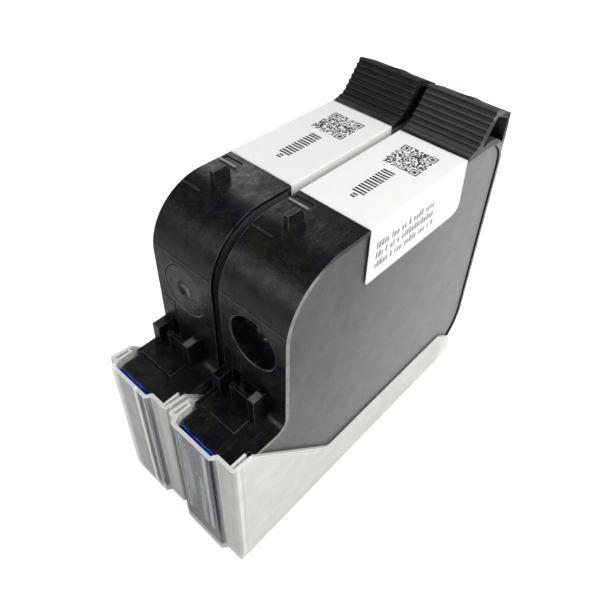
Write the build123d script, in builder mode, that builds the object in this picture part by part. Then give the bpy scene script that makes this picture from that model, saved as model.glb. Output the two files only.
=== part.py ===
"""A twin set of thermal inkjet print cartridges, each in a clear protective cap.

Millimetres. X runs across the pair, Y from the nozzles to the handles, Z up. The origin is on the
ground under the middle of the pair. Each cartridge stands on the tray of its own cap. Inside a
function, xc is the X of that cartridge's middle plane and other X values are measured from it.
"""
import os
from math import cos, radians, sin

from build123d import *

os.makedirs("parts", exist_ok=True)

# Driving dimensions of one cartridge.
BODY_WIDTH = 19.0
PITCH = 21.46  # between the middle planes of the two cartridges
TOP = 78.0
UNDERSIDE = 2.4
FACE_Y = -30.4  # upright front face
REAR_Y = 47.3
DECK = 37.3  # flat top of the snout
SHOULDER_Y = -39.5  # where the snout steps in
SNOUT_Y = -44.6  # end face of the snout, with the nozzles
SNOUT_WIDTH = 15.8
FRONT_RADIUS = 15.0
REAR_TOP_RADIUS = 9.0
REAR_LOW_RADIUS = 14.0
HALF = BODY_WIDTH / 2
OVERLAP = 1.0  # how far an added feature sinks into the body it grows from

# Walls and inner stack, from the middle plane outward.
RIM = 1.0  # rim left round a side cover
COVER_SEAT = 8.3
COVER_THICK = 0.7
COVER_FIT = 0.05
WALL = 3.5  # frame wall round the ink chamber
LINER = 1.4
BAG_HALF = 7.6
FILM = 0.1
PLATE_OUT = 7.55
PLATE_THICK = 0.3
PLATE_CORNERS = [(-16.0, 17.0), (34.0, 17.0), (34.0, 63.0), (-16.0, 63.0)]
PLATE_RADIUS = 5.0

# Bow spring between the plates.
LEAF = 0.3
LEAF_REACH = 19.0
LEAF_Y = 9.0
LEAF_LOW = 34.0
LEAF_HEIGHT = 12.0
LEAF_FIT = 0.02

# Port in the front face, its plug and the ball behind it.
PORT_Z = 57.0
PORT_R = 6.45
PORT_CHAMFER = 0.25
BOSS_R = 7.5
BOSS_DEPTH = 8.0
PORT_FLOOR = 1.6  # end wall of the boss
BALL_R = 2.5
BALL_SUNK = 0.2
PLUG_R = 6.3
PLUG_THICK = 1.6
PLUG_DEPTH = {"left": 0.15, "right": 3.6}  # behind the face; the right one is pushed home
DIMPLE_R = 2.4
DIMPLE_DEPTH = 1.0

# Handle, as points (y, z) of its side view.
HANDLE_FOOT = (28.6, TOP)
HANDLE_TOE = (32.6, 78.8)
HANDLE_LIP = (39.0, 86.7)
HANDLE_HEEL = (46.1, 83.5)
HANDLE_BACK_Y = 46.6
HANDLE_WEB = 0.8  # half the web left between the two side pockets
POCKET_CORNERS = [(35.0, 79.2), (39.5, 84.9), (45.1, 82.4), (45.5, 72.0), (38.0, 72.0)]
POCKET_SKIN = 0.65  # wall left over the rear top corner
RIDGES = 7
RIDGE_R = 0.42
FOOT_RIDGE = (31.2, 78.4)
CROWN_HALF = 3.2
CROWN_RISE = 0.28
CROWN_LENGTH = 5.0

# Top of the body: locating fin, recess and its lip, x measured from the middle plane.
FIN_X = (-3.3, -2.0)
FIN_Y = (-18.1, -13.5)
FIN_TOP = 81.2
FIN_SLOPE = (1.1, 1.2)  # back and down, at its rear top corner
RECESS_X = (-8.9, -3.6)
RECESS_Y = (-10.4, -8.4)
RECESS_DEPTH = 0.25
LIP_THICK = 0.6
LIP_RISE = 0.35
SEAM_WIDTH = 0.25
SEAM_THICK = 0.2

# Lugs in the corner between face and deck.
PAD_X = -4.6
PAD_Z = (40.0, 50.3)
PAD_GROOVE = 0.4  # width and depth of the groove along its top and inner edges
LEFT_LUG_X = -7.2
LEFT_LUG_Y = -34.2
LEFT_LUG_TOP = 42.4
RIGHT_LUG_X = (2.0, 3.9)
RIGHT_LUG_Y = -34.3
RIGHT_LUG_TOP = 44.4
PEG_X = -3.9
PEG_Y = -33.2
PEG_R = 0.65
PEG_TOP = 42.6
WEB_Y = (-33.3, -32.4)
WEB_TOP = 42.2
NICHE_X = (-7.0, -4.6)
NICHE_TOP = 43.6
NICHE_DEPTH = 2.2
DECK_PAD_X = (-8.0, 2.7)
DECK_PAD_Y = (-39.1, -32.0)
DECK_PAD_RISE = 0.4

# Printhead: chip, nozzle plate, flex circuit, contact pads, and the ink duct behind them.
DIE_Z = 20.0
DIE_WIDTH = 7.8
DIE_LENGTH = 14.4
DIE_THICK = 0.65
DIE_FIT = 0.05
INK_SLOT = 1.0
INK_SLOT_LENGTH = 11.6
NOZZLE_WIDTH = 7.2
NOZZLE_LENGTH = 13.6
NOZZLE_THICK = 0.1
DUCT_WIDTH = 6.0
DUCT_LENGTH = 13.0
DUCT_END = 3.1  # duct stops this far behind the snout's end
THROAT_WIDTH = 1.6
SCREEN_WIDTH = 9.8
SCREEN_LENGTH = 15.8
SCREEN_THICK = 0.3
MESH_STEP = 1.2
MESH_HOLE = 0.8
FLEX_THICK = 0.12
FLEX_WIDTH = 13.0
FLEX_TOP = 33.0
FLEX_TAIL_Y = -22.0
FLEX_WINDOW = (7.9, 14.6)
BEAD_HEIGHT = 1.0
BEAD_PROUD = 0.3
PADS_Y = -33.0
PAD_SIZE = (1.7, 1.6)
PAD_STEP = (2.4, 2.3)
PAD_GRID = (5, 8)
PAD_THICK = 0.08

# Label.
LABEL_THICK = 0.12
LABEL_FRONT_Y = -7.0
LABEL_REAR_Y = 28.5
FLAP_LOW = 63.2
FLAP_SLANT = 0.8

# Seal tape.
TAPE_LEFT = -6.9
TAPE_WIDTH = 10.9
TAPE_THICK = 0.25
TAPE_GAP = 0.1  # in front of the nozzle plate
TAPE_LOW = 3.4
TAB_LOW = 5.0
LOOP_Z = 37.9
LOOP_R = 0.68

# Clear cap.
CAP_HALF = 10.3
CAP_INNER = 9.56
CAP_WALL = 0.8
CAP_TOP = 39.6
CAP_FRONT_Y = -46.0
CAP_REAR_Y = 43.5
CAP_FLOOR = 1.2
RAIL_TOP = 12.2
KINK_Y = -15.0
POCKET_Y = -47.3
POCKET_LEFT = -7.7  # ends of the pocket's front, across the cartridge
POCKET_RIGHT = 4.7
POCKET_FLARE = 0.8
BORDER = 1.0  # raised border round each side wall's panel
PANEL_DEPTH = 0.12
GUIDE_X = (8.4, 8.95)
GUIDE_REAR_Y = -41.2
GUIDE_DROP = 0.4
GUIDE_HOOK = 0.55
SKID_X = 7.8
SKID_HALF = 0.5
SKID_Y = (-38.0, 32.0)
NOTCH_Y = (-38.0, -36.6)
NOTCH_DEPTH = 0.5

BODY_CORNERS = [
    (REAR_Y, UNDERSIDE, REAR_LOW_RADIUS),
    (REAR_Y, TOP, REAR_TOP_RADIUS),
    (FACE_Y, TOP, FRONT_RADIUS),
    (FACE_Y, DECK, 3.0),
    (SHOULDER_Y, DECK, 0.0),
    (SHOULDER_Y, UNDERSIDE, 0.0),
]
CHAMBER_CORNERS = [
    (REAR_Y, UNDERSIDE, REAR_LOW_RADIUS),
    (REAR_Y, TOP, REAR_TOP_RADIUS),
    (FACE_Y, TOP, FRONT_RADIUS),
    (FACE_Y, UNDERSIDE, 4.0),
]


def rounded(plane, corners, inset=0.0):
    """A closed outline on plane through corners (u, v, radius), shrunk by inset."""
    with BuildSketch(plane) as outline:
        with BuildLine():
            Polyline(*[(u, v) for u, v, radius in corners], close=True)
        make_face()
        for u, v, radius in corners:
            if radius:
                fillet(outline.vertices().sort_by_distance((u, v, 0))[0], radius)
        if inset:
            offset(amount=-inset, kind=Kind.INTERSECTION, mode=Mode.REPLACE)
    return outline.sketch


def side_plane(x):
    """The plane at x whose own axes are Y and Z."""
    return Plane.YZ.offset(x)


def rearward(xc, y, z):
    """The plane square to Y at a point, looking to the rear."""
    return Plane(origin=(xc, y, z), x_dir=(1, 0, 0), z_dir=(0, 1, 0))


def disc(plane, radius):
    """A round outline on a plane."""
    with BuildSketch(plane) as outline:
        Circle(radius)
    return outline.sketch


def block(xs, ys, zs, mode=Mode.ADD):
    """A box between pairs of limits."""
    middle = [sum(pair) / 2 for pair in (xs, ys, zs)]
    with Locations(tuple(middle)):
        Box(xs[1] - xs[0], ys[1] - ys[0], zs[1] - zs[0], mode=mode)


def across(xc, xs):
    """Limits measured from a cartridge's middle plane, turned into limits of the pair."""
    return (xc + xs[0], xc + xs[1])


def about(middle, width):
    """Limits of a width about its middle."""
    return (middle - width / 2, middle + width / 2)


def save(piece, name):
    """Label a finished piece and write its file."""
    piece.label = name
    export_step(piece, f"parts/{name}.step")


def handle_outline(x):
    """Side view of the handle, with its foot running down into the body."""
    corners = [
        (HANDLE_FOOT[0], TOP - OVERLAP, 0.0),
        (*HANDLE_FOOT, 0.0),
        (*HANDLE_TOE, 3.0),
        (*HANDLE_LIP, 0.5),
        (*HANDLE_HEEL, 0.5),
        (HANDLE_BACK_Y, TOP - 3.0, 0.0),
        (HANDLE_BACK_Y, TOP - 8.0, 0.0),
        (REAR_Y - REAR_TOP_RADIUS, TOP - 8.0, 0.0),
    ]
    return rounded(side_plane(x), corners)


def handle_pocket(x):
    """Side view of the handle's hollow; its lower edge follows the body's rear top corner."""
    with BuildSketch(side_plane(x)) as pocket:
        with BuildLine():
            Polyline(*POCKET_CORNERS, close=True)
        make_face()
        with Locations((REAR_Y - REAR_TOP_RADIUS, TOP - REAR_TOP_RADIUS)):
            Circle(REAR_TOP_RADIUS + POCKET_SKIN, mode=Mode.SUBTRACT)
    return pocket.sketch


def add_handle_ridges(x):
    """Ridges across the handle's leaning front plate, and one on its foot."""
    run = HANDLE_LIP[0] - HANDLE_TOE[0]
    rise = HANDLE_LIP[1] - HANDLE_TOE[1]
    with BuildSketch(side_plane(x)) as ridges:
        for i in range(RIDGES):
            along = (i + 0.25) / (RIDGES - 0.35)
            with Locations((HANDLE_TOE[0] + run * along, HANDLE_TOE[1] + rise * along)):
                Circle(RIDGE_R)
        with Locations(FOOT_RIDGE):
            Circle(RIDGE_R)
    extrude(ridges.sketch, amount=BODY_WIDTH)


def add_handle_crown(xc):
    """Low crown in the middle of the handle's top flange."""
    fall = HANDLE_LIP[1] - HANDLE_HEEL[1]
    reach = HANDLE_HEEL[0] - HANDLE_LIP[0]
    rear_end = (xc, HANDLE_HEEL[0] - 1.0, HANDLE_HEEL[1] + fall / reach)
    sunk = -0.2
    with BuildSketch(Plane(origin=rear_end, x_dir=(1, 0, 0), z_dir=(0, -reach, fall))) as crown:
        with BuildLine():
            ThreePointArc((-CROWN_HALF, sunk), (0, CROWN_RISE), (CROWN_HALF, sunk))
            Line((CROWN_HALF, sunk), (-CROWN_HALF, sunk))
        make_face()
    extrude(crown.sketch, amount=CROWN_LENGTH)


def add_seam(xc, xs, angle):
    """A fine raised line across the rounded front, angle degrees round from the top."""
    y = FACE_Y + FRONT_RADIUS * (1 - sin(radians(angle)))
    z = TOP - FRONT_RADIUS * (1 - cos(radians(angle)))
    with Locations(Location((xc + sum(xs) / 2, y, z), (angle, 0, 0))):
        Box(xs[1] - xs[0], SEAM_WIDTH, SEAM_THICK)


def add_top_features(xc):
    """Locating fin, and the shallow recess behind it with its lip."""
    recess_x = across(xc, RECESS_X)
    lip_y = (RECESS_Y[0] - LIP_THICK, RECESS_Y[0])
    fin_corners = [
        (FIN_Y[0], TOP - 3.0, 0.0),
        (FIN_Y[0], FIN_TOP, 0.0),
        (FIN_Y[1] - FIN_SLOPE[0], FIN_TOP, 0.0),
        (FIN_Y[1], FIN_TOP - FIN_SLOPE[1], 0.0),
        (FIN_Y[1], TOP - 3.0, 0.0),
    ]
    extrude(rounded(side_plane(xc + FIN_X[0]), fin_corners), amount=FIN_X[1] - FIN_X[0])
    block(recess_x, RECESS_Y, (TOP - RECESS_DEPTH, TOP + OVERLAP), Mode.SUBTRACT)
    block(recess_x, lip_y, (TOP - OVERLAP, TOP + LIP_RISE))
    add_seam(xc, (0.2 - HALF, FIN_X[0] - 0.4), 21.0)
    add_seam(xc, (0.2 - HALF, HALF - 0.2), 81.0)


def add_lugs(xc):
    """Grooved pad on the face, and the lugs, peg and web where the face meets the deck."""
    left = xc - HALF
    root = DECK - OVERLAP
    behind = FACE_Y + OVERLAP
    pad_edge = (xc + PAD_X, xc + PAD_X + PAD_GROOVE)
    groove_y = (FACE_Y - OVERLAP, FACE_Y + PAD_GROOVE)
    block((left, pad_edge[1]), groove_y, (PAD_Z[1], PAD_Z[1] + PAD_GROOVE), Mode.SUBTRACT)
    block(pad_edge, groove_y, PAD_Z, Mode.SUBTRACT)
    block((left, xc + LEFT_LUG_X), (LEFT_LUG_Y, behind), (root, LEFT_LUG_TOP))
    block(across(xc, RIGHT_LUG_X), (RIGHT_LUG_Y, behind), (root, RIGHT_LUG_TOP))
    block(across(xc, (PEG_X, RIGHT_LUG_X[0] + 0.1)), WEB_Y, (root, WEB_TOP))
    with Locations((xc + PEG_X, PEG_Y, root)):
        Cylinder(PEG_R, PEG_TOP - root, align=(Align.CENTER, Align.CENTER, Align.MIN))
    niche_y = (FACE_Y - OVERLAP, FACE_Y + NICHE_DEPTH)
    block(across(xc, NICHE_X), niche_y, (DECK + 1.2, NICHE_TOP), Mode.SUBTRACT)
    block(across(xc, DECK_PAD_X), DECK_PAD_Y, (root, DECK + DECK_PAD_RISE))


def add_port(xc):
    """Boss, bore with a chamfered mouth, and the fill hole in the end wall."""
    mouth = rearward(xc, FACE_Y, PORT_Z)
    extrude(disc(mouth, BOSS_R), amount=BOSS_DEPTH)
    extrude(disc(mouth, PORT_R), amount=BOSS_DEPTH - PORT_FLOOR, mode=Mode.SUBTRACT)
    extrude(disc(mouth, BALL_R), amount=BOSS_DEPTH, mode=Mode.SUBTRACT)
    chamfered = disc(mouth, PORT_R + PORT_CHAMFER)
    extrude(chamfered, amount=PORT_CHAMFER, taper=45, mode=Mode.SUBTRACT)


def cut_ink_way(xc):
    """Ink duct from the chamber to the slot behind the nozzles, and the pocket for the chip."""
    duct_y = (SNOUT_Y + DUCT_END, FACE_Y + WALL)
    throat_y = (SNOUT_Y, SNOUT_Y + DUCT_END + OVERLAP)
    seat_y = (SNOUT_Y, SNOUT_Y + DIE_THICK + DIE_FIT)
    seat_x = about(xc, DIE_WIDTH + 2 * DIE_FIT)
    seat_z = about(DIE_Z, DIE_LENGTH + 2 * DIE_FIT)
    block(about(xc, DUCT_WIDTH), duct_y, about(DIE_Z, DUCT_LENGTH), Mode.SUBTRACT)
    block(about(xc, THROAT_WIDTH), throat_y, about(DIE_Z, DUCT_LENGTH - 1.0), Mode.SUBTRACT)
    block(seat_x, seat_y, seat_z, Mode.SUBTRACT)


def make_frame(name, xc):
    """Black moulded frame with its snout, port boss, lugs and ribbed handle."""
    left = xc - HALF
    body = rounded(side_plane(left), BODY_CORNERS)
    chamber = rounded(side_plane(left), CHAMBER_CORNERS, WALL)
    recess_left = rounded(side_plane(left), BODY_CORNERS, RIM)
    recess_right = rounded(side_plane(xc + COVER_SEAT), BODY_CORNERS, RIM)
    handle = handle_outline(left)
    pocket_left = handle_pocket(left)
    pocket_right = handle_pocket(xc + HANDLE_WEB)
    with BuildPart() as frame:
        extrude(body, amount=BODY_WIDTH)
        block(about(xc, SNOUT_WIDTH), (SNOUT_Y, SHOULDER_Y + OVERLAP), (UNDERSIDE, DECK))
        fillet(frame.edges().filter_by(Axis.Z).group_by(Axis.Y)[0], 0.8)
        extrude(handle, amount=BODY_WIDTH)
        extrude(pocket_left, amount=HALF - HANDLE_WEB, mode=Mode.SUBTRACT)
        extrude(pocket_right, amount=HALF - HANDLE_WEB, mode=Mode.SUBTRACT)
        add_handle_ridges(left)
        add_handle_crown(xc)
        extrude(chamber, amount=BODY_WIDTH, mode=Mode.SUBTRACT)
        add_port(xc)
        cut_ink_way(xc)
        add_top_features(xc)
        add_lugs(xc)
        # Seats for the side covers.
        extrude(recess_left, amount=HALF - COVER_SEAT, mode=Mode.SUBTRACT)
        extrude(recess_right, amount=HALF - COVER_SEAT, mode=Mode.SUBTRACT)
    save(frame.part, name)


def make_inner_frame(name, xc):
    """Liner ring that the two films are staked to."""
    outer = rounded(side_plane(xc - BAG_HALF), CHAMBER_CORNERS, WALL)
    inner = rounded(side_plane(xc - BAG_HALF), CHAMBER_CORNERS, WALL + LINER)
    inlet_y = (FACE_Y, FACE_Y + BOSS_DEPTH)
    with BuildPart() as liner:
        extrude(outer, amount=2 * BAG_HALF)
        extrude(inner, amount=2 * BAG_HALF, mode=Mode.SUBTRACT)
        extrude(disc(rearward(xc, FACE_Y, PORT_Z), BOSS_R), amount=BOSS_DEPTH, mode=Mode.SUBTRACT)
        block(about(xc, 10.0), inlet_y, about(DIE_Z, 16.0), Mode.SUBTRACT)
    save(liner.part, name)


def make_side_cover(name, xc, side):
    """Plate set into the rim; side is -1 for the -X flank and 1 for the +X flank."""
    outline = rounded(side_plane(xc + side * COVER_SEAT), BODY_CORNERS, RIM + COVER_FIT)
    with BuildPart() as cover:
        extrude(outline, amount=side * COVER_THICK)
    save(cover.part, name)


def make_bag_film(name, xc, side):
    """One membrane of the ink bag, staked to the liner's edge."""
    outline = rounded(side_plane(xc + side * BAG_HALF), CHAMBER_CORNERS, WALL + 0.1)
    with BuildPart() as film:
        extrude(outline, amount=side * FILM)
    save(film.part, name)


def make_pressure_plate(name, xc, side):
    """Steel plate inside the bag, with rounded corners."""
    corners = [(y, z, PLATE_RADIUS) for y, z in PLATE_CORNERS]
    outline = rounded(side_plane(xc + side * (PLATE_OUT - PLATE_THICK)), corners)
    with BuildPart() as plate:
        extrude(outline, amount=side * PLATE_THICK)
    save(plate.part, name)


def make_bow_spring(name, xc):
    """Two bowed leaves joined at their ends, crowns against the plates."""
    crown = PLATE_OUT - PLATE_THICK - LEAF_FIT
    with BuildPart() as spring:
        with BuildSketch(Plane.XY.offset(LEAF_LOW)):
            with Locations((xc, LEAF_Y)):
                Ellipse(crown, LEAF_REACH)
                Ellipse(crown - LEAF, LEAF_REACH - LEAF, mode=Mode.SUBTRACT)
        extrude(amount=LEAF_HEIGHT)
    save(spring.part, name)


def make_filter_screen(name, xc):
    """Mesh across the mouth of the ink duct."""
    with BuildPart() as screen:
        with BuildSketch(rearward(xc, FACE_Y + WALL, DIE_Z)):
            Rectangle(SCREEN_WIDTH, SCREEN_LENGTH)
            with GridLocations(MESH_STEP, MESH_STEP, 6, 11):
                Rectangle(MESH_HOLE, MESH_HOLE, mode=Mode.SUBTRACT)
        extrude(amount=SCREEN_THICK)
    save(screen.part, name)


def make_port_plug(name, xc, depth):
    """Round plug with a rounded dimple; depth is how far behind the face it sits."""
    dimple_ball = (DIMPLE_R**2 + DIMPLE_DEPTH**2) / (2 * DIMPLE_DEPTH)
    dimple_y = FACE_Y + depth + DIMPLE_DEPTH - dimple_ball
    with BuildPart() as plug:
        extrude(disc(rearward(xc, FACE_Y + depth, PORT_Z), PLUG_R), amount=PLUG_THICK)
        with Locations((xc, dimple_y, PORT_Z)):
            Sphere(dimple_ball, mode=Mode.SUBTRACT)
    save(plug.part, name)


def make_fill_ball(name, xc):
    """Steel ball in the fill hole at the end of the port."""
    with BuildPart() as ball:
        with Locations((xc, FACE_Y + BOSS_DEPTH - BALL_SUNK, PORT_Z)):
            Sphere(BALL_R)
    save(ball.part, name)


def make_die(name, xc):
    """Silicon chip with the ink slot through it."""
    front = SNOUT_Y + NOZZLE_THICK / 2
    slot_z = about(DIE_Z, INK_SLOT_LENGTH)
    with BuildPart() as die:
        block(about(xc, DIE_WIDTH), (front, front + DIE_THICK), about(DIE_Z, DIE_LENGTH))
        block(about(xc, INK_SLOT), (SNOUT_Y, front + OVERLAP), slot_z, Mode.SUBTRACT)
    save(die.part, name)


def make_nozzle_plate(name, xc):
    """Thin plated foil over the chip."""
    with BuildPart() as plate:
        block(about(xc, NOZZLE_WIDTH), about(SNOUT_Y, NOZZLE_THICK), about(DIE_Z, NOZZLE_LENGTH))
    save(plate.part, name)


def make_flex_circuit(name, xc):
    """Film circuit down the snout's end and back under it, with a window for the chip."""
    front = SNOUT_Y - FLEX_THICK
    foot = UNDERSIDE - FLEX_THICK
    window_z = about(DIE_Z, FLEX_WINDOW[1])
    with BuildPart() as flex:
        block(about(xc, FLEX_WIDTH), (front, SNOUT_Y), (foot, FLEX_TOP))
        block(about(xc, FLEX_WIDTH), (front, FLEX_TAIL_Y), (foot, UNDERSIDE))
        block(about(xc, FLEX_WINDOW[0]), (front, SNOUT_Y), window_z, Mode.SUBTRACT)
    save(flex.part, name)


def make_beads(name, xc):
    """Sealing beads over the leads at both ends of the chip."""
    away = FLEX_WINDOW[1] / 2 + BEAD_HEIGHT / 2 + 0.1
    bead_y = (SNOUT_Y - BEAD_PROUD, SNOUT_Y - FLEX_THICK)
    with BuildPart() as beads:
        for z in (DIE_Z - away, DIE_Z + away):
            block(about(xc, NOZZLE_WIDTH + 0.4), bead_y, about(z, BEAD_HEIGHT))
    save(beads.part, name)


def make_contact_pads(name, xc):
    """Rows of pads under the snout."""
    with BuildPart() as pads:
        with BuildSketch(Plane.XY.offset(UNDERSIDE - FLEX_THICK - PAD_THICK)):
            with Locations((xc, PADS_Y)):
                with GridLocations(*PAD_STEP, *PAD_GRID):
                    Rectangle(*PAD_SIZE)
        extrude(amount=PAD_THICK)
    save(pads.part, name)


def make_label(name, xc):
    """White wrap label: the top and a flap down each flank."""
    outer = HALF + LABEL_THICK
    label_top = TOP + LABEL_THICK
    flap_corners = [
        (LABEL_FRONT_Y, FLAP_LOW, 0.5),
        (LABEL_REAR_Y + FLAP_SLANT, FLAP_LOW, 3.0),
        (LABEL_REAR_Y, label_top, 0.0),
        (LABEL_FRONT_Y, label_top, 0.0),
    ]
    flap_left = rounded(side_plane(xc - outer), flap_corners)
    flap_right = rounded(side_plane(xc + HALF), flap_corners)
    with BuildPart() as label:
        block(about(xc, 2 * outer), (LABEL_FRONT_Y, LABEL_REAR_Y), (TOP, label_top))
        extrude(flap_left, amount=LABEL_THICK)
        extrude(flap_right, amount=LABEL_THICK)
    save(label.part, name)


def make_nozzle_tape(name, xc):
    """Blue seal tape: a sheet over the snout's end, looped over into a hanging pull tab."""
    near = SNOUT_Y - TAPE_GAP - TAPE_THICK
    far = near - 2 * LOOP_R
    middle = near - LOOP_R
    with BuildPart() as tape:
        with BuildSketch(side_plane(xc + TAPE_LEFT)):
            with BuildLine():
                Line((near, TAPE_LOW), (near, LOOP_Z))
                ThreePointArc((near, LOOP_Z), (middle, LOOP_Z + LOOP_R), (far, LOOP_Z))
                Line((far, LOOP_Z), (far, TAB_LOW))
                Line((far, TAB_LOW), (far + TAPE_THICK, TAB_LOW))
                Line((far + TAPE_THICK, TAB_LOW), (far + TAPE_THICK, LOOP_Z))
                ThreePointArc(
                    (far + TAPE_THICK, LOOP_Z),
                    (middle, LOOP_Z + LOOP_R - TAPE_THICK),
                    (near - TAPE_THICK, LOOP_Z),
                )
                Line((near - TAPE_THICK, LOOP_Z), (near - TAPE_THICK, TAPE_LOW))
                Line((near - TAPE_THICK, TAPE_LOW), (near, TAPE_LOW))
            make_face()
        extrude(amount=TAPE_WIDTH)
    save(tape.part, name)


def cap_flank(plane, inset=0.0):
    """Side wall of the cap: full height at the front, cut down to a low rail at the rear."""
    corners = [
        (CAP_FRONT_Y, 0.0, 0.0),
        (CAP_FRONT_Y, CAP_TOP, 0.6),
        (CAP_FRONT_Y + 5.6, CAP_TOP - 0.6, 1.5),
        (KINK_Y, RAIL_TOP, 3.0),
        (CAP_REAR_Y - 7.7, RAIL_TOP, 2.0),
        (CAP_REAR_Y - 1.1, 7.0, 1.5),
        (CAP_REAR_Y, 0.0, 0.0),
    ]
    return rounded(plane, corners, inset)


def cap_front_outline(xc):
    """Plan of the front wall: the pocket stands forward over its left part."""
    inner = CAP_FRONT_Y + CAP_WALL
    lean = 0.6  # the inner corners of the slanted returns
    pocket = [
        (xc + POCKET_LEFT - POCKET_FLARE, CAP_FRONT_Y),
        (xc + POCKET_LEFT, POCKET_Y),
        (xc + POCKET_RIGHT, POCKET_Y),
        (xc + POCKET_RIGHT + POCKET_FLARE, CAP_FRONT_Y),
    ]
    wall = [
        (xc - CAP_HALF, inner),
        (xc - CAP_HALF, CAP_FRONT_Y),
        *pocket,
        (xc + CAP_HALF, CAP_FRONT_Y),
        (xc + CAP_HALF, inner),
        (xc + POCKET_RIGHT + POCKET_FLARE - lean, inner),
        (xc + POCKET_RIGHT - lean, POCKET_Y + CAP_WALL),
        (xc + POCKET_LEFT + lean, POCKET_Y + CAP_WALL),
        (xc + POCKET_LEFT - POCKET_FLARE + lean, inner),
    ]
    return pocket, wall


def add_cap_front(xc):
    """Front wall, and the floor of its pocket."""
    pocket, wall = cap_front_outline(xc)
    for outline, height in ((wall, CAP_TOP), (pocket, CAP_FLOOR)):
        with BuildSketch(Plane.XY) as plan:
            with BuildLine():
                Polyline(*outline, close=True)
            make_face()
        extrude(plan.sketch, amount=height)


def add_cap_guides(xc):
    """Ribs beside the snout, the left one closed by a hooked end, and skids under the cartridge."""
    root = CAP_FLOOR - 0.2
    guide_y = (CAP_FRONT_Y + CAP_WALL - 0.2, GUIDE_REAR_Y)
    guide_z = (root, CAP_TOP - GUIDE_DROP)
    hook_y = (GUIDE_REAR_Y - GUIDE_HOOK, GUIDE_REAR_Y)
    block(across(xc, GUIDE_X), guide_y, guide_z)
    block(across(xc, (-GUIDE_X[1], -GUIDE_X[0])), guide_y, guide_z)
    block(across(xc, (-CAP_INNER - 0.1, -GUIDE_X[0])), hook_y, guide_z)
    for x in (-SKID_X, SKID_X):
        block(about(xc + x, 2 * SKID_HALF), SKID_Y, (root, UNDERSIDE - 0.02))


def make_cap(name, xc):
    """Clear cap: tray floor, cut-down side walls, front wall with its pocket, guide ribs."""
    wall = CAP_HALF - CAP_INNER
    flank_left = cap_flank(side_plane(xc - CAP_HALF))
    flank_right = cap_flank(side_plane(xc + CAP_INNER))
    panel_left = cap_flank(side_plane(xc - CAP_HALF), BORDER)
    panel_right = cap_flank(side_plane(xc + CAP_HALF - PANEL_DEPTH), BORDER)
    whole_width = about(xc, 2 * CAP_HALF)
    with BuildPart() as cap:
        extrude(flank_left, amount=wall)
        extrude(flank_right, amount=wall)
        block(whole_width, (CAP_FRONT_Y, CAP_REAR_Y), (0.0, CAP_FLOOR))
        add_cap_front(xc)
        uprights = cap.edges().filter_by(Axis.Z)
        fillet(uprights.filter_by_position(Axis.Y, POCKET_Y - 0.01, POCKET_Y + 0.01), 0.5)
        uprights = cap.edges().filter_by(Axis.Z)
        uprights = uprights.filter_by_position(Axis.Y, CAP_FRONT_Y - 0.01, CAP_FRONT_Y + 0.01)
        by_x = uprights.sort_by(Axis.X)
        fillet([by_x[0], by_x[-1]], 0.6)
        extrude(panel_left, amount=PANEL_DEPTH, mode=Mode.SUBTRACT)
        extrude(panel_right, amount=PANEL_DEPTH, mode=Mode.SUBTRACT)
        add_cap_guides(xc)
        # Notch across the bottom behind the front corner.
        block(whole_width, NOTCH_Y, (0.0, NOTCH_DEPTH), Mode.SUBTRACT)
    save(cap.part, name)


for prefix, xc in (("left", -PITCH / 2), ("right", PITCH / 2)):
    make_frame(f"{prefix}_frame", xc)
    make_inner_frame(f"{prefix}_inner_frame", xc)
    for letter, side in (("a", -1), ("b", 1)):
        make_side_cover(f"{prefix}_side_cover_{letter}", xc, side)
        make_bag_film(f"{prefix}_bag_film_{letter}", xc, side)
        make_pressure_plate(f"{prefix}_pressure_plate_{letter}", xc, side)
    make_bow_spring(f"{prefix}_bow_spring", xc)
    make_filter_screen(f"{prefix}_filter_screen", xc)
    make_port_plug(f"{prefix}_port_plug", xc, PLUG_DEPTH[prefix])
    make_fill_ball(f"{prefix}_fill_ball", xc)
    make_die(f"{prefix}_printhead_die", xc)
    make_nozzle_plate(f"{prefix}_nozzle_plate", xc)
    make_flex_circuit(f"{prefix}_flex_circuit", xc)
    make_beads(f"{prefix}_encapsulant_beads", xc)
    make_contact_pads(f"{prefix}_contact_pads", xc)
    make_label(f"{prefix}_label", xc)
    make_nozzle_tape(f"{prefix}_nozzle_tape", xc)
    make_cap(f"{prefix}_cap", xc)
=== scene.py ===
"""Twin inkjet print cartridges in clear caps: finishes, wrap labels, seal tapes, floor, light and camera."""

import random
from math import atan2, cos, exp, pi, radians, sin

import bmesh
import bpy
from mathutils import Matrix, Vector, noise


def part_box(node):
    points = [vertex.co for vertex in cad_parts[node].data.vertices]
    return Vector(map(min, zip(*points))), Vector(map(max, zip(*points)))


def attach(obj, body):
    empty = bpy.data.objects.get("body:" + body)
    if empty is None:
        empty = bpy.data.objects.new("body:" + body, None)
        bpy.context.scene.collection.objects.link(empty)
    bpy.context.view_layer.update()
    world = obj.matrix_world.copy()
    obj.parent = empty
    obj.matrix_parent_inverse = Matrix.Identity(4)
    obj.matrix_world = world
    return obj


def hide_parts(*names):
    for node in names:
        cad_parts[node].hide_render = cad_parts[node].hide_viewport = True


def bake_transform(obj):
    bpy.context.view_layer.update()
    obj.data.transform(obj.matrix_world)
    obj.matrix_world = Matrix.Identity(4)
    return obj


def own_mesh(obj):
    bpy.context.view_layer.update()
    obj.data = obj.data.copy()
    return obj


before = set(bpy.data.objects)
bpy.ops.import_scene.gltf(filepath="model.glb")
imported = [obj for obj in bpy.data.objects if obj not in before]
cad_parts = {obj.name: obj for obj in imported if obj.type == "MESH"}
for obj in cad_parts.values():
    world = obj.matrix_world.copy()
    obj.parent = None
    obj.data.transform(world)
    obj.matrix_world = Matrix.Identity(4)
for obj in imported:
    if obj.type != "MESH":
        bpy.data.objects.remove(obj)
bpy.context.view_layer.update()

MM = 0.001
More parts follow.
